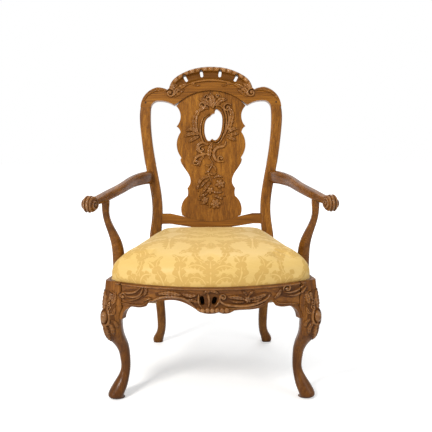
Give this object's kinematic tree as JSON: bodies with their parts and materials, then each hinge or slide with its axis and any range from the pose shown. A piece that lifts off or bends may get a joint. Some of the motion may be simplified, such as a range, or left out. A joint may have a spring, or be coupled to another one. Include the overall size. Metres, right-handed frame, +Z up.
{
  "type": "open armchair",
  "caption": "Carved open armchair with cabriole front legs, a pierced splat and crest, scrolled arms and a domed lift-out damask seat.",
  "frame": {"origin": "on the floor, at the middle of the chair's width and depth", "axes": "+Z up, +Y to the back of the chair, +X to the right as seen from the front"},
  "size_m": [0.7782, 0.6856, 1.0596],
  "materials": {
    "carved_wood": "waxed, mid brown with dark patina in the carving",
    "peg_wood": "end grain, waxed",
    "plain_wood": "unfinished softwood",
    "steel": "plain steel",
    "webbing": "jute strap",
    "hessian": "coarse woven jute",
    "stuffing": "curled hair under calico",
    "damask": "tone-on-tone silk damask",
    "dust_cloth": "plain cotton"
  },
  "bodies": {
    "chair_frame": {"arm_left": "carved_wood", "arm_pegs": "peg_wood", "arm_right": "carved_wood", "arm_support_left": "carved_wood", "arm_support_right": "carved_wood", "block_screws": "steel", "corner_block_front_left": "plain_wood", "corner_block_front_right": "plain_wood", "corner_block_rear_left": "plain_wood", "corner_block_rear_right": "plain_wood", "crest_pegs": "peg_wood", "crest_rail": "carved_wood", "front_leg_left": "carved_wood", "front_leg_right": "carved_wood", "front_seat_rail": "carved_wood", "knee_bracket_front_left": "carved_wood", "knee_bracket_front_right": "carved_wood", "knee_bracket_side_left": "carved_wood", "knee_bracket_side_right": "carved_wood", "rail_pegs": "peg_wood", "rear_leg_left": "carved_wood", "rear_leg_right": "carved_wood", "rear_seat_rail": "carved_wood", "side_seat_rail_left": "carved_wood", "side_seat_rail_right": "carved_wood", "splat": "carved_wood", "splat_rail": "carved_wood", "support_screws": "steel"},
    "lift_out_seat": {"cover_tacks": "steel", "seat_cover": "damask", "seat_dust_cloth": "dust_cloth", "seat_frame_back": "plain_wood", "seat_frame_front": "plain_wood", "seat_frame_left": "plain_wood", "seat_frame_right": "plain_wood", "seat_hessian": "hessian", "seat_stuffing": "stuffing", "seat_webbing_cross": "webbing", "seat_webbing_long": "webbing"}
  },
  "joints": [
    {"name": "seat_lift", "type": "slide", "parent": "chair_frame", "child": "lift_out_seat", "axis": [0, 0, 1], "range_m": [0, 0.12]}
  ]
}
